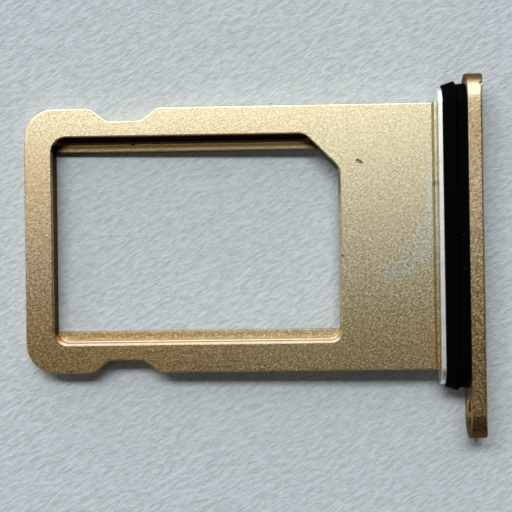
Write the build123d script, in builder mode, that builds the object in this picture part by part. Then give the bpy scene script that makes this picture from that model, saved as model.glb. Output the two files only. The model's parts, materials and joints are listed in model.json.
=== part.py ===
"""Card tray of a phone: a machined frame with a pocket for one nano card, a rubber seal and a face plate.

The tray lies flat with its pocket facing up (+Z) and its face plate towards +X.  The origin is under the
middle of the whole tray, at the level of the face plate's lower edge.  All sizes are in millimetres.
"""

import os
from math import cos, radians, sin, sqrt, tan

from build123d import *

# The card that the tray carries
card_length = 12.3
card_width = 8.8
card_thickness = 0.67

# The pocket that holds the card
card_gap = 0.1  # free space on each side of the card
card_headroom = 0.03  # how far the card lies below the frame's top face
end_corner_round = 0.6  # the pocket's two corners at the free end
land_corner_round = 0.47  # the pocket's square corner beside the solid metal
corner_cut = 1.5  # legs of the slanted corner that keys the card
corner_cut_round = 0.6
lead_in = 0.09  # chamfer round the pocket's rim
upper_ledge_width = 0.59
lower_ledge_width = 0.5
ledge_thickness = 0.3
ledge_root_radius = 0.07  # left by the cutter between the ledge and the pocket's wall
ledge_edge_chamfer = 0.05

# The frame around the pocket
end_rail = 1.24
side_rail = 1.28
land_length = 4.3  # solid metal between the pocket and the gasket retainer
end_corner_radius = 1.32
edge_radius = 0.05

# The detent notches in the frame's long edges
notch_from_end = 4.38  # free end to the notch's centre
notch_depth = 0.56
notch_floor = 1.5
notch_angle = 38
notch_radius = 0.5

# The nick in the solid metal beside the pocket's slanted corner
nick_length = 0.3
nick_width = 0.13
nick_depth = 0.05
nick_taper = 30  # lean of its walls
nick_from_pocket = 0.89  # pocket's wall to the nick's centre
nick_from_middle = 3.27  # frame's middle to the nick's centre
nick_angle = -27

# The step across the frame beside the retainer, which ends in a slope
step_width = 0.275
step_slope = 0.14
step_depth = 0.12

# The retainer, a flat ring on the neck
retainer_thickness = 0.215
retainer_fit = 0.02  # free space round the neck
retainer_side_rim = 0.675  # from the neck's hole to the retainer's ends
retainer_face_rim = 0.19  # from the neck's hole to the retainer's upper and lower edges
retainer_edge_radius = 0.04

# The gasket, whose outline stands proud of the retainer's by these heights
gasket_length = 1.02
lip_from_retainer = 0.52
lip_fall = 0.09
gasket_start_height = 0.11
gasket_lip_height = 0.28
gasket_waist_height = 0.14
gasket_end_height = 0.18
gasket_edge_radius = 0.03

# The face plate
plate_length = 15.9
plate_height = 2.18
plate_thickness = 0.75  # at the crown
crown_radius = 3.6
plate_edge_radius = 0.08
plate_offset = 0.88  # face plate's middle to the frame's middle
eject_hole_diameter = 1.1
eject_hole_chamfer = 0.06

# The dent in the face plate's outer edge, on the round of its upper end
dent_radius = 0.12
dent_angle = 60  # round the end, from +Y towards +Z

# Sizes that follow
pocket_length = card_length + 2 * card_gap
pocket_width = card_width + 2 * card_gap
pocket_depth = card_thickness + card_headroom
frame_width = pocket_width + 2 * side_rail
frame_thickness = pocket_depth + ledge_thickness
neck_hole_width = frame_width + 2 * retainer_fit
neck_hole_height = frame_thickness + 2 * retainer_fit
retainer_length = neck_hole_width + 2 * retainer_side_rim
retainer_height = neck_hole_height + 2 * retainer_face_rim
total_length = end_rail + pocket_length + land_length + retainer_thickness + gasket_length + plate_thickness
notch_mouth = notch_floor + 2 * notch_depth / tan(radians(notch_angle))

# Places along the tray, from its free end to its face
free_end_x = -total_length / 2
pocket_x = free_end_x + end_rail + pocket_length / 2
retainer_x = free_end_x + end_rail + pocket_length + land_length
gasket_x = retainer_x + retainer_thickness
plate_x = gasket_x + gasket_length
crown_x = plate_x + plate_thickness
notch_x = free_end_x + notch_from_end

# Places across and up
tray_y = plate_offset
middle_z = plate_height / 2
frame_top = middle_z + frame_thickness / 2
frame_bottom = middle_z - frame_thickness / 2
ledge_top = frame_bottom + ledge_thickness
eject_hole_y = -(plate_length - plate_height) / 2
dent_y = (plate_length - plate_height) / 2 + plate_height / 2 * cos(radians(dent_angle))
dent_rise = plate_height / 2 * sin(radians(dent_angle))
dent_x = crown_x - crown_radius + sqrt(crown_radius**2 - dent_rise**2)

corner_direction = Axis((0, 0, 0), (1, 1, 0))


def across(x):
    """Plane across the tray at x, centred on the neck: its own X runs along Y and its own Y along Z."""
    return Plane(origin=(x, tray_y, middle_z), x_dir=(0, 1, 0), z_dir=(1, 0, 0))


# Pocket cutter: the card's outline with its slanted corner, rounded along its floor
with BuildPart() as pocket_cutter:
    with BuildSketch(Plane.XY.offset(ledge_top)) as pocket_outline:
        with Locations((pocket_x, tray_y)):
            Rectangle(pocket_length, pocket_width)
        chamfer(pocket_outline.vertices().sort_by(corner_direction)[-1], corner_cut)
        fillet(pocket_outline.vertices().sort_by(corner_direction)[-2:], corner_cut_round)
        fillet(pocket_outline.vertices().group_by(Axis.X)[-1].sort_by(Axis.Y)[0], land_corner_round)
        fillet(pocket_outline.vertices().group_by(Axis.X)[0], end_corner_round)
    extrude(amount=pocket_depth)
    fillet(pocket_cutter.faces().sort_by(Axis.Z)[0].edges(), ledge_root_radius)

# Window cutter: the pocket's outline between the two ledges, flared at the ledges' edges
with BuildPart() as window_cutter:
    upper_edge = pocket_width / 2 - upper_ledge_width
    lower_edge = lower_ledge_width - pocket_width / 2
    with BuildSketch(Plane(origin=(pocket_x, tray_y, 0), x_dir=(0, 1, 0), z_dir=(1, 0, 0))):
        with BuildLine():
            Polyline(
                (upper_edge, frame_bottom),
                (upper_edge, ledge_top - ledge_edge_chamfer),
                (upper_edge + ledge_edge_chamfer, ledge_top),
                (upper_edge + ledge_edge_chamfer, frame_top),
                (lower_edge - ledge_edge_chamfer, frame_top),
                (lower_edge - ledge_edge_chamfer, ledge_top),
                (lower_edge, ledge_top - ledge_edge_chamfer),
                (lower_edge, frame_bottom),
                close=True,
            )
        make_face()
    extrude(amount=pocket_length / 2, both=True)
    with BuildSketch(Plane.XY.offset(frame_bottom)):
        add(pocket_outline.sketch)
    extrude(amount=frame_thickness, mode=Mode.INTERSECT)

# Face plate: a slot-shaped plate with a crowned outer face and the eject hole at its lower end
with BuildPart() as face_plate:
    with BuildSketch(Plane.YZ.offset(plate_x)):
        with Locations((0, middle_z)):
            SlotOverall(plate_length, plate_height)
    extrude(amount=plate_thickness)
    with BuildSketch(Plane.XZ):
        with Locations((crown_x - crown_radius, middle_z)):
            Circle(crown_radius)
    extrude(amount=plate_length / 2, both=True, mode=Mode.INTERSECT)
    fillet(face_plate.faces().sort_by(Axis.X)[-1].edges(), plate_edge_radius)
    with BuildSketch(Plane.YZ.offset(plate_x)):
        with Locations((eject_hole_y, middle_z)):
            Circle(eject_hole_diameter / 2)
    extrude(amount=plate_thickness, mode=Mode.SUBTRACT)
    hole_rims = face_plate.edges(Select.LAST).filter_by(GeomType.LINE, reverse=True)
    chamfer(hole_rims, eject_hole_chamfer)
    with Locations((dent_x, dent_y, middle_z + dent_rise)):
        Sphere(dent_radius, mode=Mode.SUBTRACT)

# Tray body: frame, neck and face plate in one piece
with BuildPart() as tray_body:
    with BuildSketch(Plane.XY.offset(frame_bottom)) as frame_outline:
        with Locations(((free_end_x + plate_x) / 2, tray_y)):
            Rectangle(plate_x - free_end_x, frame_width)
        fillet(frame_outline.vertices().group_by(Axis.X)[0], end_corner_radius)
        for side in (1, -1):
            with Locations(Location((notch_x, tray_y + side * frame_width / 2), 90 + 90 * side)):
                Trapezoid(
                    notch_mouth,
                    notch_depth,
                    notch_angle,
                    align=(Align.CENTER, Align.MIN),
                    mode=Mode.SUBTRACT,
                )
        fillet(
            frame_outline.vertices().filter_by_position(
                Axis.X, notch_x - notch_mouth / 2, notch_x + notch_mouth / 2
            ),
            notch_radius,
        )
    extrude(amount=frame_thickness)
    add(pocket_cutter, mode=Mode.SUBTRACT)
    add(window_cutter, mode=Mode.SUBTRACT)

    # Chamfered rim and rounded edges
    rim = tray_body.faces().sort_by(Axis.Z)[-1].inner_wires()[0]
    chamfer(rim.edges(), lead_in)
    top = tray_body.faces().sort_by(Axis.Z)[-1].outer_wire()
    bottom = tray_body.faces().sort_by(Axis.Z)[0].outer_wire()
    fillet(top.edges().sort_by(Axis.X)[:-1] + bottom.edges().sort_by(Axis.X)[:-1], edge_radius)

    # Nick in the land
    nick_x = pocket_x + pocket_length / 2 + nick_from_pocket
    with BuildSketch(Plane.XY.offset(frame_top)):
        with Locations(Location((nick_x, tray_y + nick_from_middle), nick_angle)):
            SlotOverall(nick_length, nick_width)
    extrude(amount=-nick_depth, taper=nick_taper, mode=Mode.SUBTRACT)

    # Step beside the retainer, on both faces
    for face_z, floor_z in (
        (frame_top, frame_top - step_depth),
        (frame_bottom, frame_bottom + step_depth),
    ):
        with BuildSketch(Plane.XZ.offset(-tray_y)):
            with BuildLine():
                Polyline(
                    (retainer_x - step_width, face_z),
                    (retainer_x - step_width + step_slope, floor_z),
                    (retainer_x, floor_z),
                    (retainer_x, face_z),
                    close=True,
                )
            make_face()
        extrude(amount=frame_width / 2, both=True, mode=Mode.SUBTRACT)

    add(face_plate)

tray_body.part.label = "tray_body"

# Gasket retainer: a flat ring on the neck
with BuildPart() as gasket_retainer:
    with BuildSketch(across(retainer_x)):
        SlotOverall(retainer_length, retainer_height)
    extrude(amount=retainer_thickness)
    flat_sides = gasket_retainer.faces().filter_by(Axis.X)
    fillet(flat_sides.edges(), retainer_edge_radius)
    with BuildSketch(across(retainer_x)):
        Rectangle(neck_hole_width, neck_hole_height)
    extrude(amount=retainer_thickness, mode=Mode.SUBTRACT)

gasket_retainer.part.label = "gasket_retainer"

# Sealing gasket: a slanted wiping lip, a waist and a plain lip against the face plate
with BuildPart() as sealing_gasket:
    lip_x = gasket_x + lip_from_retainer
    stations = [
        (gasket_x, gasket_start_height),
        (lip_x, gasket_lip_height),
        (lip_x + lip_fall, gasket_waist_height),
        (plate_x, gasket_end_height),
    ]
    for near, far in zip(stations, stations[1:]):
        for x, height in (near, far):
            with BuildSketch(across(x)):
                SlotOverall(retainer_length + 2 * height, retainer_height + 2 * height)
        loft(ruled=True)
    lip_edges = sealing_gasket.edges().filter_by_position(Axis.X, lip_x - lip_fall / 2, lip_x + lip_fall / 2)
    front_edges = sealing_gasket.edges().group_by(Axis.X)[0]
    fillet(lip_edges + front_edges, gasket_edge_radius)
    with BuildSketch(across(gasket_x)):
        Rectangle(frame_width, frame_thickness)
    extrude(amount=gasket_length, mode=Mode.SUBTRACT)

sealing_gasket.part.label = "sealing_gasket"

os.makedirs("parts", exist_ok=True)
for piece in (tray_body, gasket_retainer, sealing_gasket):
    export_step(piece.part, f"parts/{piece.part.label}.step")
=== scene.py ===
"""Finishes, floor, lamps and camera of a phone's card tray, laid out as an add-on.

The tray lies with its pocket facing up (+Z) and its face plate towards +X.
Blender's lengths are metres.  The shaders work in millimetres, because the tray's marks and grain
are parts of a millimetre.
"""

import json
import math

import bmesh
import bpy
from bpy.props import FloatProperty, FloatVectorProperty, PointerProperty
from mathutils import Matrix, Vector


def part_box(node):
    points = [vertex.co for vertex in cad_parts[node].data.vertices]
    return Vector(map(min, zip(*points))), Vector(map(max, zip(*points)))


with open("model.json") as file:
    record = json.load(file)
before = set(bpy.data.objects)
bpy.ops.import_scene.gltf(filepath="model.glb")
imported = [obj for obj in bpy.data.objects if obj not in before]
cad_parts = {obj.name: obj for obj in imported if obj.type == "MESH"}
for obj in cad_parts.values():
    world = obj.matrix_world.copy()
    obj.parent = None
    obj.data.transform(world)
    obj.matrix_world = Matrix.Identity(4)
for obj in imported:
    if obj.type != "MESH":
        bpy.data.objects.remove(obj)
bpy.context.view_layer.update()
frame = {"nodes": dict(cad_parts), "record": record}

bl_info = {
    "name": "Card Tray",
    "version": (1, 0, 0),
    "blender": (4, 5, 0),
    "location": "View3D > Sidebar > Card Tray",
    "description": "Finishes, floor, lamps and camera of a phone's card tray",
    "category": "Object",
}

MM = 0.001

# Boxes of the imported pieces, and of the whole tray
body_low, body_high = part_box("tray_body")
retainer_low, retainer_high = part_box("gasket_retainer")
gasket_low, gasket_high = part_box("sealing_gasket")
underside = next(m for m in frame["record"]["mounts"] if m["name"] == "frame_underside")

# The frame lies at half the face plate's height, so its faces are as far from the plate's two edges
frame_bottom = underside["pos_m"][2]
frame_top = body_high.z - frame_bottom


class Wire:
    """An output of a node in a shader, or its bare tree.  Arithmetic on wires adds Math nodes."""

    def __init__(self, tree, socket=None):
        self.tree = tree
        self.socket = socket

    def node(self, kind, settings=None, sockets=None, output=0):
        """Add a node: its settings are set first, then its sockets get their values or links."""
        made = self.tree.nodes.new("ShaderNode" + kind)
        for name, value in (settings or {}).items():
            setattr(made, name, value)
        for name, value in (sockets or {}).items():
            if isinstance(value, Wire):
                self.tree.links.new(value.socket, made.inputs[name])
            else:
                made.inputs[name].default_value = value
        return Wire(self.tree, made.outputs[output] if made.outputs else None)

    def other(self, output):
        """Another output of the same node."""
        return Wire(self.tree, self.socket.node.outputs[output])

    def math(self, operation, *values):
        return self.node("Math", {"operation": operation}, dict(enumerate(values)))

    def __add__(self, value):
        return self.math("ADD", self, value)

    def __sub__(self, value):
        return self.math("SUBTRACT", self, value)

    def __rsub__(self, value):
        return self.math("SUBTRACT", value, self)

    def __mul__(self, value):
        return self.math("MULTIPLY", self, value)

    def __abs__(self):
        return self.math("ABSOLUTE", self)

    __radd__ = __add__
    __rmul__ = __mul__

    def rise(self, start, end):
        """0 before start and 1 after end, or 1 before end and 0 after start where end is the lower."""
        return self.node(
            "MapRange",
            {"interpolation_type": "SMOOTHSTEP"},
            {"Value": self, "From Min": start, "From Max": end},
        )

    def clamped(self):
        return self.node("Clamp", {}, {"Value": self})

    def band(self, start, end, soft):
        """1 between start and end, and 0 outside, with soft edges."""
        return self.rise(start - soft, start + soft) * self.rise(end + soft, end - soft)


def blend(share, first, second):
    """The first colour where share is 0 and the second where it is 1."""
    return share.node("Mix", {"data_type": "RGBA"}, {0: share, 6: first, 7: second}, output=2)


def tinted(color, tint, share=1.0):
    """A colour times a tint, as far as the share goes."""
    settings = {"data_type": "RGBA", "blend_type": "MULTIPLY"}
    return color.node("Mix", settings, {0: share, 6: color, 7: tint}, output=2)


def grey(value):
    return (value, value, value, 1.0)


def seen_from(place, centre, size=(1, 1, 1), turn=0.0):
    """Coordinates about a centre, in units of size along axes turned about Z."""
    return place.node(
        "Mapping",
        {"vector_type": "TEXTURE"},
        {"Vector": place, "Location": centre, "Rotation": (0, 0, turn), "Scale": size},
    )


def length_of(vector):
    return vector.node("VectorMath", {"operation": "LENGTH"}, {0: vector}, output="Value")


def blot(place, centre, size, turn=0.0, soft=0.5):
    """An oval mark on a face that looks up: 1 inside and 0 outside."""
    oval = seen_from(place, (*centre, 0), (*size, ANY_HEIGHT), turn)
    return length_of(oval).rise(1 + soft, 1 - soft)


def noise(place, size, detail=2.0, roughness=0.5):
    """Noise whose blobs are about as large as size."""
    return place.node(
        "TexNoise",
        {},
        {"Vector": place, "Scale": 1 / size, "Detail": detail, "Roughness": roughness},
    )


def rgba(color):
    return (*color, 1.0)


def start_material(name, preview):
    """An empty node material, and the places on its piece in millimetres."""
    material = bpy.data.materials.new(name)
    material.use_nodes = True
    material.diffuse_color = rgba(preview)
    material.node_tree.nodes.clear()
    metres = Wire(material.node_tree).node("TexCoord").other("Object")
    place = metres.node("VectorMath", {"operation": "SCALE"}, {0: metres, "Scale": 1 / MM})
    return material, place


def end_material(material, sockets):
    """Close a material with a Principled shader that has these values and links."""
    shader = Wire(material.node_tree).node("BsdfPrincipled", {}, sockets)
    shader.node("OutputMaterial", {}, {"Surface": shader})
    return material


def bumped(height, depth):
    """A normal from a height of 0 to 1, where 1 stands for depth in metres."""
    return height.node("Bump", {}, {"Height": height, "Distance": depth, "Strength": 1.0})


# A mark on a top face reaches down its walls as far as this many millimetres
ANY_HEIGHT = 1000.0

# The places below are in millimetres, seen from above
# A pair says where a mark begins and where it has its full strength

# Blasted grain, drawn out a little along a slant, with a finer grain in it
GRAIN_STRETCH = (1.5, 0.9, 1.0)
GRAIN_TURN = math.radians(30)
FINE_GRAIN = 0.6
COARSE_SHARE = 0.6
GRAIN_MIDDLE = 0.47
GRAIN_CONTRAST = 3.2
LOW_CRESTS = (0.44, 0.63)
LOW_CREST_TINT = (1.05, 1.1, 1.22)
CREST_TINT = 1.05
UPPER_HALF_Y = (-4.5, 4.5)

# Where the gold is paler in tone on the land, pale from a painted highlight on the upper rail, and
# deep from painted shade along the lower rail
PALE_X = (-8.0, 4.0)
HIGHLIGHT_PALE_Y = (4.0, 6.3)
HIGHLIGHT_PALE_SHARE = 0.9
PAINTED_DEEP_SHADE_Y = (1.0, -4.8)

# Dark specks and the dirt in the nick: centre, half sizes, turn in degrees and strength
SPECKS = (
    ((4.62, 4.15), (0.16, 0.07), -27, 0.8),
    ((3.83, 0.06), (0.05, 0.05), 0, 1.0),
    ((6.65, -0.37), (0.05, 0.035), -30, 1.0),
    ((-5.31, 5.11), (0.085, 0.065), 0, 1.0),
    ((7.90, 3.16), (0.13, 0.10), 35, 0.5),
)
SPECK_SOFTNESS = 0.4
SPECK_SHADE = 0.2
SPECK_DEPTH = 0.5

# A light spot
SPOT_CENTRE = (0.28, -3.93)
SPOT_SIZE = (0.06, 0.04)
SPOT_SHARE = 0.5
SPOT_BRIGHTNESS = 0.95

# Arc scratches about one centre: radius, width, first and last X, strength
ARC_CENTRE = (-1.75, -12.9)
ARCS = (
    (8.50, 0.035, -4.0, 0.5, 1.0),
    (9.23, 0.030, -4.85, -4.05, 0.8),
    (8.22, 0.070, -2.9, -0.9, 0.7),
    (8.64, 0.030, -3.0, -0.2, 0.35),
    (8.78, 0.030, -2.6, -0.6, 0.3),
)
ARC_CORE = 0.2
ARC_END = 0.25
ARC_GAP_SIZE = 0.35
ARC_GAPS = (0.25, 0.6)
SCRATCH_SHADE = 0.55
SCRATCH_DEPTH = 0.25

# The hazy film's parts: centre, half sizes and turn in degrees
FILM = (
    ((7.68, 2.3), (0.22, 1.7), 0),
    ((7.50, 0.9), (0.45, 0.8), -15),
    ((6.95, -0.15), (0.75, 0.40), 30),
    ((6.10, -0.62), (0.60, 0.30), 15),
)
FILM_SOFTNESS = 0.9
FILM_CLOUD_SIZE = 0.4
FILM_LEAST = 0.4
FILM_SPREAD = 0.8

# The step beside the retainer, with painted shade on its slope, a painted reflection of the retainer
# on its flat and a painted shadow against the retainer, measured from the step's start
STEP_WIDTH = 0.275
STEP_SLOPE = (0.06, 0.20)
STEP_SLOPE_SOFTNESS = 0.02
STEP_SLOPE_PAINTED_SHADE = (0.9, 0.88, 0.82)
STEP_FLAT = (0.19, 0.23)
STEP_FLAT_PAINTED_REFLECTION = (0.62, 0.64, 0.55)
STEP_FLAT_SHARE = 0.8
STEP_CONTACT = (0.205, 0.255)
STEP_CONTACT_PAINTED_SHADOW = (0.96, 0.95, 0.92)

# The pocket's walls, ledges and rims, where shade and highlights are painted into the gold: depths are
# from the frame's top face
POCKET_X = (-8.87, 3.83)
POCKET_Y = (-3.72, 5.48)
POCKET_SOFTNESS = 0.01
POCKET_DEPTH = (0.0, 0.08)
WALL_DEPTH = (0.01, 0.05)
LEFT_WALL_DEPTH = (0.06, 0.12)
UPPER_WALL_Y = (5.205, 5.255)
UPPER_LEDGE_Y = (4.74, 4.78)
LEDGE_ROOT_Y = (5.05, 5.16)
LEDGE_LIP_Y = (4.99, 4.91)
LEDGE_END_X = (-8.3, -8.7)
WINDOW_SIDE_Z = (0.86, 0.80)
LEFT_WALL_X = (-8.68, -8.76)
SLANTED_WALL = (7.5, 7.58)
LOW_WALL_Y = (-3.45, -3.52)
LOW_FACE_Z = (1.52, 1.49)
LOW_ROOT_Z = (1.03, 0.97)
LOW_LEDGE_Y = (-2.9, -3.0)
LOW_EDGE_Y = (-3.16, -2.9)
LOW_EDGE_SOFTNESS = 0.02
LEFT_RIM_X = (-8.75, -8.79)
LEFT_RIM_END_Y = (3.0, 4.6)
RIGHT_RIM_X = (3.7, 3.74)
RIGHT_RIM_END_Y = (1.8, 3.2)
# A painted highlight on the lower wall
LOW_WALL_PAINTED_HIGHLIGHT = (0.98, 0.93, 0.82)
LOW_WALL_SHARE = 0.8
# Painted shadow of the upper rail on the upper ledge, lighter at its root and at its lip
LEDGE_ROOT_PAINTED_SHADE = (1.0, 0.8, 0.5)
LEDGE_PAINTED_SHADOW = (0.16, 0.13, 0.085)
LEDGE_LIP_PAINTED_SHADE = (0.4, 0.345, 0.26)
# Painted shade: what the gold is multiplied by on each wall, ledge end and rim where shade falls, and
# where the lower wall's highlight is dimmed
POCKET_PAINTED_SHADE = {
    "upper_wall": (0.05, 0.04, 0.03),
    "window_side": (0.06, 0.05, 0.04),
    "slanted_wall": (0.16, 0.14, 0.11),
    "left_wall": (0.14, 0.12, 0.1),
    "low_face": (0.9, 0.88, 0.84),
    "low_root": (0.62, 0.6, 0.55),
    "low_edge": (0.7, 0.74, 0.82),
    "ledge_end": (0.3, 0.3, 0.3),
    "left_rim_end": (0.3, 0.3, 0.3),
    "right_rim_end": (0.3, 0.3, 0.3),
}
POCKET_ROUGHNESS = {"low_ledge": 0.065, "left_rim": 0.25, "right_rim": 0.12}

# The face plate: its coarser grain, a darker stretch, a painted glint and painted shade at its two
# ends
PLATE_PITS = 0.64
PLATE_CRESTS = 0.95
PLATE_DARKER_Y = (4.0, 6.4)
PLATE_DARKER_SOFTNESS = 0.8
PLATE_DARKER_FACTOR = 0.82
PLATE_GLINT_Y = (6.8, 7.5)
PLATE_GLINT_SOFTNESS = 0.15
PLATE_GLINT_COLOR = (0.98, 0.95, 0.8)
PLATE_GLINT_SHARE = 0.35
PLATE_ROUGH_Y = (6.4, 7.1)
PLATE_ROUGHNESS = 0.15
PLATE_TOP_Y = (7.36, 7.68)
PLATE_TOP_PAINTED_SHADE = (0.3, 0.25, 0.18)
PLATE_END_Y = (-6.9, -7.5)
PLATE_END_PAINTED_SHADE = (0.26, 0.2, 0.14)

# The retainer's cut lines and tarnish
LINE_STRETCH = (1.5, 0.12, 1.5)
LINE_SIZE = 0.5
LINE_ROUGHNESS = 0.2
LINE_DEPTH = 0.003 * MM
TARNISH_SIZE = 0.6
TARNISH = (0.52, 0.75)
TARNISH_SHARE = 0.4
TARNISH_SHADE = 0.72

# The rubber's skin and dust
SKIN_SIZE = 0.09
SKIN_ROUGHNESS = 0.2
SKIN_DEPTH = 0.003 * MM
DUST_PER_MM = 1.6
DUST_RADIUS = (0.05, 0.025)
DUST_COLOR = (0.2, 0.21, 0.19)
DUST_SHARE = 0.3
RUBBER_GLOSS = 0.015

# The floor's fibres
FIBRE_STRETCH = (1.7, 0.85, 1.0)
FIBRE_TURN = math.radians(30)
FIBRE_SIZE = 0.22
FIBRE_CONTRAST = 2.4
FIBRE_SHADE = 0.12
FIBRE_DEPTH = 0.03 * MM
FLOOR_ROUGHNESS = 0.9
FLOOR_GLOSS = 0.1


class CardTrayGold(bpy.types.PropertyGroup):
    """The blasted and anodised body."""

    color: FloatVectorProperty(
        name="Gold",
        description="Colour of the anodised metal",
        subtype="COLOR",
        min=0,
        max=1,
        default=(0.95, 0.765, 0.485),
    )
    # Paler tone on the land, and a painted highlight on the upper rail
    pale_tone_and_highlight: FloatVectorProperty(
        name="Pale Gold",
        description="Colour of the metal on the land and the upper rail",
        subtype="COLOR",
        min=0,
        max=1,
        default=(0.95, 0.875, 0.62),
    )
    # Painted shade: the lower rail made deeper where less light falls
    painted_deep_shade_tint: FloatVectorProperty(
        name="Deep Tint",
        description="What the metal's colour is multiplied by along the lower rail",
        subtype="COLOR",
        min=0,
        max=1,
        default=(1.0, 0.865, 0.66),
    )
    film_color: FloatVectorProperty(
        name="Film",
        description="Colour of the hazy film beside the retainer",
        subtype="COLOR",
        min=0,
        max=1,
        default=(0.92, 0.94, 0.78),
    )
    edge_tint: FloatVectorProperty(
        name="Edge Tint",
        description="What the metal's gloss is multiplied by where it is seen at a slant",
        subtype="COLOR",
        min=0,
        max=1,
        default=(0.5, 0.46, 0.4),
    )
    roughness: FloatProperty(
        name="Roughness",
        description="Roughness of the blasted metal in the middle",
        subtype="FACTOR",
        min=0,
        max=1,
        default=0.361,
    )
    roughness_rise: FloatProperty(
        name="Roughness Rise",
        description="How much the roughness grows with each millimetre towards the upper rail",
        default=0.0048,
    )
    roughness_run: FloatProperty(
        name="Roughness Run",
        description="How much the roughness grows with each millimetre towards the face plate",
        default=0.0018,
    )
    grain_roughness: FloatProperty(
        name="Grain Roughness",
        description="How much the blasted grain's crests are rougher than its pits",
        default=0.3,
    )
    pit_tint: FloatVectorProperty(
        name="Pit Tint",
        description="What the metal's colour is multiplied by in the pits of the blasted grain",
        subtype="COLOR",
        min=0,
        max=1,
        default=(0.66, 0.6, 0.48),
    )
    grain_size: FloatProperty(
        name="Grain Size",
        description="Size of the blasted grain",
        unit="LENGTH",
        default=0.08 * MM,
    )
    grain_depth: FloatProperty(
        name="Grain Depth",
        description="Depth of the blasted grain",
        unit="LENGTH",
        default=0.005 * MM,
    )


class CardTraySteel(bpy.types.PropertyGroup):
    """The bright retainer."""

    color: FloatVectorProperty(
        name="Steel",
        description="Colour of the bare metal",
        subtype="COLOR",
        min=0,
        max=1,
        default=(0.97, 0.985, 0.955),
    )
    roughness: FloatProperty(
        name="Roughness",
        description="Roughness of the bare metal",
        subtype="FACTOR",
        min=0,
        max=1,
        default=0.44,
    )


class CardTrayRubber(bpy.types.PropertyGroup):
    """The black gasket."""

    color: FloatVectorProperty(
        name="Rubber",
        description="Colour of the rubber",
        subtype="COLOR",
        min=0,
        max=1,
        default=(0.001, 0.001, 0.0009),
    )
    roughness: FloatProperty(
        name="Roughness",
        description="Roughness of the rubber",
        subtype="FACTOR",
        min=0,
        max=1,
        default=0.6,
    )


class CardTrayStage(bpy.types.PropertyGroup):
    """Floor, lamps, world and camera."""

    floor_color: FloatVectorProperty(
        name="Floor",
        description="Colour of the floor",
        subtype="COLOR",
        min=0,
        max=1,
        default=(0.62, 0.688, 0.728),
    )
    strip_radiance: FloatProperty(
        name="Strip Lamp",
        description="Brightness of the narrow strip above the tray, where 1 is white",
        min=0,
        default=12.4,
    )
    wide_radiance: FloatProperty(
        name="Wide Lamp",
        description="Brightness of the wide lamp beyond the upper rail, where 1 is white",
        min=0,
        default=1.0,
    )
    low_radiance: FloatProperty(
        name="Low Lamp",
        description="Brightness of the low strip beyond the upper rail, where 1 is white",
        min=0,
        default=1.25,
    )
    side_radiance: FloatProperty(
        name="Side Lamp",
        description="Brightness of the lamp beyond the free end, where 1 is white",
        min=0,
        default=0.4,
    )
    fill_radiance: FloatProperty(
        name="Fill Lamp",
        description="Brightness of the dim lamp beyond the lower rail, where 1 is white",
        min=0,
        default=0.16,
    )
    world_color: FloatVectorProperty(
        name="World",
        description="Colour of the light from all round",
        subtype="COLOR",
        min=0,
        max=1,
        default=(0.012, 0.010, 0.008),
    )


def arc_scratches(place, x):
    """Broken arcs about one centre on the lower rail."""
    radius = length_of(seen_from(place, (*ARC_CENTRE, 0), (1, 1, ANY_HEIGHT)))
    scratch = 0.0
    for arc_radius, width, start, end, strength in ARCS:
        line = abs(radius - arc_radius).rise(width, width * ARC_CORE)
        scratch = scratch + line * x.band(start, end, ARC_END) * strength
    return scratch * noise(place, ARC_GAP_SIZE).rise(*ARC_GAPS)


def dark_specks(place):
    speck = 0.0
    for centre, size, turn, strength in SPECKS:
        speck = speck + blot(place, centre, size, math.radians(turn), SPECK_SOFTNESS) * strength
    return speck.clamped()


def hazy_film(place):
    film = 0.0
    for centre, size, turn in FILM:
        film = film + blot(place, centre, size, math.radians(turn), FILM_SOFTNESS)
    cloud = noise(place, FILM_CLOUD_SIZE, 3.0, 0.6) * FILM_SPREAD + FILM_LEAST
    return (film.clamped() * cloud).clamped()


def pocket_masks(x, y, z):
    """1 on each wall, ledge or rim of the pocket, and 0 elsewhere."""
    depth = frame_top / MM - z
    inside = x.band(*POCKET_X, POCKET_SOFTNESS) * y.band(*POCKET_Y, POCKET_SOFTNESS)
    pocket = inside * depth.rise(*POCKET_DEPTH)
    walls = pocket * depth.rise(*WALL_DEPTH)
    upper_ledge = pocket * y.rise(*UPPER_LEDGE_Y)
    low_wall = pocket * y.rise(*LOW_WALL_Y)
    left_rim = pocket * x.rise(*LEFT_RIM_X)
    right_rim = pocket * x.rise(*RIGHT_RIM_X)
    return {
        "upper_wall": walls * y.rise(*UPPER_WALL_Y),
        "upper_ledge": upper_ledge,
        "ledge_end": upper_ledge * x.rise(*LEDGE_END_X),
        "window_side": upper_ledge * z.rise(*WINDOW_SIDE_Z),
        "slanted_wall": walls * (x + y).rise(*SLANTED_WALL),
        "left_wall": pocket * x.rise(*LEFT_WALL_X) * depth.rise(*LEFT_WALL_DEPTH),
        "left_rim": left_rim,
        "left_rim_end": left_rim * y.rise(*LEFT_RIM_END_Y),
        "right_rim": right_rim,
        "right_rim_end": right_rim * y.rise(*RIGHT_RIM_END_Y),
        "low_wall": low_wall,
        "low_face": low_wall * z.rise(*LOW_FACE_Z),
        "low_root": low_wall * z.rise(*LOW_ROOT_Z),
        "low_ledge": pocket * y.rise(*LOW_LEDGE_Y),
        "low_edge": pocket * y.band(*LOW_EDGE_Y, LOW_EDGE_SOFTNESS),
    }


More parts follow.
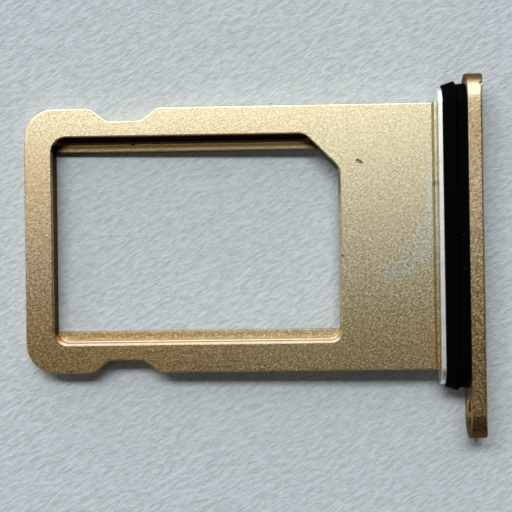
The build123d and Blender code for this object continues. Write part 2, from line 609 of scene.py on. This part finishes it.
def pocket_painted_light(color, masks, y):
    """The gold in the pocket: painted shade under the upper rail and on its walls and rims, and a
    painted highlight on the lower wall.
    """
    color = blend(masks["low_wall"] * LOW_WALL_SHARE, color, rgba(LOW_WALL_PAINTED_HIGHLIGHT))
    ledge = blend(y.rise(*LEDGE_ROOT_Y), rgba(LEDGE_PAINTED_SHADOW), rgba(LEDGE_ROOT_PAINTED_SHADE))
    ledge = blend(y.rise(*LEDGE_LIP_Y), ledge, rgba(LEDGE_LIP_PAINTED_SHADE))
    color = tinted(color, ledge, masks["upper_ledge"])
    for part, tint in POCKET_PAINTED_SHADE.items():
        color = tinted(color, rgba(tint), masks[part])
    return color


def plate_grain_and_painted_light(color, crest, plate, y):
    """The gold of the face plate: coarser grain, a darker stretch, a painted glint near its upper end
    and painted shade at both ends.
    """
    color = tinted(color, blend(crest, grey(PLATE_PITS), grey(PLATE_CRESTS)), plate)
    color = tinted(color, grey(PLATE_DARKER_FACTOR), plate * y.band(*PLATE_DARKER_Y, PLATE_DARKER_SOFTNESS))
    # A painted glint near the upper end, then painted shade at both ends
    glint = plate * y.band(*PLATE_GLINT_Y, PLATE_GLINT_SOFTNESS) * PLATE_GLINT_SHARE
    color = blend(glint, color, rgba(PLATE_GLINT_COLOR))
    color = tinted(color, rgba(PLATE_TOP_PAINTED_SHADE), plate * y.rise(*PLATE_TOP_Y))
    return tinted(color, rgba(PLATE_END_PAINTED_SHADE), plate * y.rise(*PLATE_END_Y))


def gold_material(look):
    """Blasted gold: paler on the land and, by a painted highlight, on the upper rail, deeper below by
    painted shade, with a hazy film, scratches and specks, and painted shade and highlights in the
    pocket, on the step and on the face plate.
    """
    material, place = start_material("gold_anodised_look", look.color)
    x = place.node("SeparateXYZ", {}, {0: place})
    y = x.other("Y")
    z = x.other("Z")
    frame_only = x.rise(gasket_high.x / MM, gasket_low.x / MM)
    plate_only = 1.0 - frame_only

    # Grain, whose crests are wider apart on the lower half
    grain_size = look.grain_size / MM
    coarse = noise(seen_from(place, (0, 0, 0), GRAIN_STRETCH, GRAIN_TURN), grain_size, 2.0, 0.55)
    fine = noise(place, grain_size * FINE_GRAIN, 1.0)
    grain = coarse * COARSE_SHARE + fine * (1 - COARSE_SHARE)
    above = y.rise(*UPPER_HALF_Y)
    high_crest = ((grain - GRAIN_MIDDLE) * GRAIN_CONTRAST + 0.5).clamped()
    crest = high_crest * above + grain.rise(*LOW_CRESTS) * (1.0 - above)
    crest_tint = blend(above, rgba(LOW_CREST_TINT), grey(CREST_TINT))

    # Marks
    scratch = arc_scratches(place, x) * frame_only
    speck = dark_specks(place) * frame_only
    spot = blot(place, SPOT_CENTRE, SPOT_SIZE) * frame_only
    film = hazy_film(place) * frame_only
    pocket = pocket_masks(x, y, z)
    across_step = x - (retainer_low.x / MM - STEP_WIDTH)
    step_slope = across_step.band(*STEP_SLOPE, STEP_SLOPE_SOFTNESS) * frame_only
    step_flat = across_step.rise(*STEP_FLAT) * frame_only
    step_contact = across_step.rise(*STEP_CONTACT) * frame_only

    # The land's paler tone, and a painted highlight that makes the upper rail pale
    pale = x.rise(*PALE_X)
    pale = pale.math("MAXIMUM", pale, y.rise(*HIGHLIGHT_PALE_Y) * HIGHLIGHT_PALE_SHARE) * frame_only
    color = blend(pale, rgba(look.color), rgba(look.pale_tone_and_highlight))
    # A painted reflection of the retainer on the step's flat
    color = blend(step_flat * STEP_FLAT_SHARE, color, rgba(STEP_FLAT_PAINTED_REFLECTION))
    # Painted shade: deeper gold towards the lower rail
    color = tinted(color, rgba(look.painted_deep_shade_tint), y.rise(*PAINTED_DEEP_SHADE_Y))
    color = blend(film, color, rgba(look.film_color))
    color = tinted(color, blend(crest, rgba(look.pit_tint), crest_tint))
    color = plate_grain_and_painted_light(color, crest, plate_only, y)
    # Painted shade and highlights in the pocket
    color = pocket_painted_light(color, pocket, y)
    # Painted shade on the step's slope and a painted shadow against the retainer
    color = tinted(color, rgba(STEP_SLOPE_PAINTED_SHADE), step_slope)
    color = tinted(color, rgba(STEP_CONTACT_PAINTED_SHADOW), step_contact)
    color = tinted(color, grey(SCRATCH_SHADE), scratch)
    color = tinted(color, grey(SPECK_SHADE), speck)
    color = blend(spot * SPOT_SHARE, color, grey(SPOT_BRIGHTNESS))

    roughness = look.roughness + x * look.roughness_run + y * look.roughness_rise
    roughness = roughness + (grain - 0.5) * look.grain_roughness
    roughness = roughness + plate_only * y.rise(*PLATE_ROUGH_Y) * PLATE_ROUGHNESS
    for part, more in POCKET_ROUGHNESS.items():
        roughness = roughness + pocket[part] * more
    return end_material(
        material,
        {
            "Base Color": color,
            "Metallic": 1.0,
            "Specular Tint": rgba(look.edge_tint),
            "Roughness": roughness,
            "Normal": bumped(grain - scratch * SCRATCH_DEPTH - speck * SPECK_DEPTH, look.grain_depth),
        },
    )


def steel_material(look):
    """Bare bright metal with fine lines across its cut edge and a little tarnish."""
    material, place = start_material("bright_steel_look", look.color)
    lines = noise(seen_from(place, (0, 0, 0), LINE_STRETCH), LINE_SIZE, 3.0, 0.6)
    tarnish = noise(place, TARNISH_SIZE, 3.0, 0.6).rise(*TARNISH)
    dull = rgba([c * TARNISH_SHADE for c in look.color])
    return end_material(
        material,
        {
            "Base Color": blend(tarnish * TARNISH_SHARE, rgba(look.color), dull),
            "Metallic": 1.0,
            "Roughness": look.roughness + (lines - 0.5) * LINE_ROUGHNESS,
            "Normal": bumped(lines, LINE_DEPTH),
        },
    )


def rubber_material(look):
    """Black rubber with a fine skin and a few grains of dust."""
    material, place = start_material("seal_rubber_look", look.color)
    skin = noise(place, SKIN_SIZE, 3.0, 0.6)
    cells = place.node("TexVoronoi", {}, {"Vector": place, "Scale": DUST_PER_MM}, output="Distance")
    dust = cells.rise(*DUST_RADIUS)
    return end_material(
        material,
        {
            "Base Color": blend(dust * DUST_SHARE, rgba(look.color), rgba(DUST_COLOR)),
            "Roughness": look.roughness + (skin - 0.5) * SKIN_ROUGHNESS,
            "Specular IOR Level": RUBBER_GLOSS,
            "Normal": bumped(skin, SKIN_DEPTH),
        },
    )


def floor_material(look):
    """Plain pale floor with a faint fibrous tooth."""
    material, place = start_material("floor_look", look.floor_color)
    fibres = noise(seen_from(place, (0, 0, 0), FIBRE_STRETCH, FIBRE_TURN), FIBRE_SIZE, 3.0, 0.6)
    fibres = ((fibres - 0.5) * FIBRE_CONTRAST + 0.5).clamped()
    low = rgba([c * (1 - FIBRE_SHADE) for c in look.floor_color])
    high = rgba([c * (1 + FIBRE_SHADE) for c in look.floor_color])
    return end_material(
        material,
        {
            "Base Color": blend(fibres, low, high),
            "Roughness": FLOOR_ROUGHNESS,
            "Specular IOR Level": FLOOR_GLOSS,
            "Normal": bumped(fibres, FIBRE_DEPTH),
        },
    )


def dress(node, material):
    frame["nodes"][node].material_slots[0].material = material


class CARD_TRAY_OT_body(bpy.types.Operator):
    """Give the frame and the face plate their blasted gold"""

    bl_idname = "card_tray.body"
    bl_label = "Gold Body"

    def execute(self, context):
        dress("tray_body", gold_material(context.scene.card_tray_gold))
        return {"FINISHED"}


class CARD_TRAY_OT_retainer(bpy.types.Operator):
    """Give the gasket retainer its bright metal"""

    bl_idname = "card_tray.retainer"
    bl_label = "Gasket Retainer"

    def execute(self, context):
        dress("gasket_retainer", steel_material(context.scene.card_tray_steel))
        return {"FINISHED"}


class CARD_TRAY_OT_gasket(bpy.types.Operator):
    """Give the sealing gasket its black rubber"""

    bl_idname = "card_tray.gasket"
    bl_label = "Sealing Gasket"

    def execute(self, context):
        dress("sealing_gasket", rubber_material(context.scene.card_tray_rubber))
        return {"FINISHED"}


# The floor, which touches the face plate's lower edge and the free end's lower edge
FLOOR_HALF_WIDTH = 4.0
floor_lean = math.atan2(frame_bottom, gasket_high.x - body_low.x)

# The lamps, seen from the tray: their bearing is from +Y towards -X, their angles are from straight up
# and their reach to the left and right is a slope
LAMP_DISTANCE = 3.0
LAMPS = {
    "strip": {
        "bearing": 0.0,
        "near_angle": math.radians(22),
        "far_angle": math.radians(34),
        "left": -0.6,
        "right": 0.27,
    },
    "wide": {
        "bearing": 0.0,
        "near_angle": math.radians(34),
        "far_angle": math.radians(86),
        "left": -1.7,
        "right": 0.6,
    },
    "low": {
        "bearing": 0.0,
        "near_angle": math.radians(74),
        "far_angle": math.radians(88),
        "left": -1.2,
        "right": 0.6,
    },
    "side": {
        "bearing": math.radians(95),
        "near_angle": math.radians(42),
        "far_angle": math.radians(86),
        "left": -0.5,
        "right": 0.5,
    },
    "fill": {
        "bearing": math.radians(180),
        "near_angle": math.radians(50),
        "far_angle": math.radians(86),
        "left": -1.5,
        "right": 1.5,
    },
}

# The camera of the photograph
CAMERA_PLACE = (1.388 * MM, -0.292 * MM, 52.03 * MM)
CAMERA_TURN = (math.radians(0.438), math.radians(1.498), math.radians(-0.825))
CAMERA_LENS = 81.64
SENSOR_WIDTH = 36.0
CAMERA_NEAR = 1 * MM
CAMERA_FAR = 100.0


def add_object(name, data):
    made = bpy.data.objects.new(name, data)
    bpy.context.scene.collection.objects.link(made)
    return made


def add_floor(look):
    mesh = bpy.data.meshes.new("floor")
    shape = bmesh.new()
    bmesh.ops.create_grid(shape, x_segments=1, y_segments=1, size=FLOOR_HALF_WIDTH)
    lean = Matrix.Translation((gasket_high.x, 0, body_low.z)) @ Matrix.Rotation(floor_lean, 4, "Y")
    bmesh.ops.transform(shape, matrix=lean, verts=shape.verts)
    shape.to_mesh(mesh)
    shape.free()
    mesh.materials.append(floor_material(look))
    floor = add_object("floor", mesh)


def add_lamp(name, radiance, bearing, near_angle, far_angle, left, right):
    """A flat soft lamp that faces the tray."""
    half_angle = (far_angle - near_angle) / 2
    light = bpy.data.lights.new(name, "AREA")
    light.shape = "RECTANGLE"
    light.size = LAMP_DISTANCE * (right - left)
    light.size_y = 2 * LAMP_DISTANCE * math.tan(half_angle)
    light.energy = radiance * math.pi * light.size * light.size_y
    lamp = add_object(name, light)
    lean = Matrix.Rotation(-(near_angle + far_angle) / 2, 4, "X")
    aside = Matrix.Translation((LAMP_DISTANCE * (right + left) / 2, 0, LAMP_DISTANCE))
    lamp.matrix_world = Matrix.Rotation(bearing, 4, "Z") @ lean @ aside
    lamp.visible_camera = False


def add_world(look):
    world = bpy.data.worlds.new("soft_world")
    world.use_nodes = True
    world.node_tree.nodes["Background"].inputs["Color"].default_value = rgba(look.world_color)
    bpy.context.scene.world = world


def add_camera():
    lens = bpy.data.cameras.new("camera")
    lens.lens = CAMERA_LENS
    lens.sensor_width = SENSOR_WIDTH
    lens.clip_start = CAMERA_NEAR
    lens.clip_end = CAMERA_FAR
    camera = add_object("camera", lens)
    camera.location = CAMERA_PLACE
    camera.rotation_euler = CAMERA_TURN
    bpy.context.scene.camera = camera


class CARD_TRAY_OT_stage(bpy.types.Operator):
    """Add the floor, the soft lamps, the world and the camera"""

    bl_idname = "card_tray.stage"
    bl_label = "Stage"

    def execute(self, context):
        look = context.scene.card_tray_stage
        add_floor(look)
        for name, place in LAMPS.items():
            add_lamp(name + "_lamp", getattr(look, name + "_radiance"), **place)
        add_world(look)
        add_camera()
        context.scene.view_settings.view_transform = "Standard"
        return {"FINISHED"}


class CARD_TRAY_PT_panel(bpy.types.Panel):
    """Sidebar panel with the tray's sizes, colours and steps"""

    bl_idname = "CARD_TRAY_PT_panel"
    bl_label = "Card Tray"
    bl_space_type = "VIEW_3D"
    bl_region_type = "UI"
    bl_category = "Card Tray"

    def draw(self, context):
        for group, operators in PANEL_GROUPS:
            box = self.layout.box()
            look = getattr(context.scene, group)
            for name in look.__annotations__:
                box.prop(look, name)
            for operator in operators:
                box.operator(operator.bl_idname)


PANEL_GROUPS = (
    ("card_tray_gold", (CARD_TRAY_OT_body,)),
    ("card_tray_steel", (CARD_TRAY_OT_retainer,)),
    ("card_tray_rubber", (CARD_TRAY_OT_gasket,)),
    ("card_tray_stage", (CARD_TRAY_OT_stage,)),
)
LOOKS = {
    "card_tray_gold": CardTrayGold,
    "card_tray_steel": CardTraySteel,
    "card_tray_rubber": CardTrayRubber,
    "card_tray_stage": CardTrayStage,
}
CLASSES = (
    *LOOKS.values(),
    CARD_TRAY_OT_body,
    CARD_TRAY_OT_retainer,
    CARD_TRAY_OT_gasket,
    CARD_TRAY_OT_stage,
    CARD_TRAY_PT_panel,
)


def register():
    for kind in CLASSES:
        bpy.utils.register_class(kind)
    for name, group in LOOKS.items():
        setattr(bpy.types.Scene, name, PointerProperty(type=group))


def unregister():
    for name in LOOKS:
        delattr(bpy.types.Scene, name)
    for kind in reversed(CLASSES):
        bpy.utils.unregister_class(kind)


def main():
    register()
    bpy.ops.card_tray.body()
    bpy.ops.card_tray.retainer()
    bpy.ops.card_tray.gasket()
    bpy.ops.card_tray.stage()


if __name__ == "__main__":
    main()
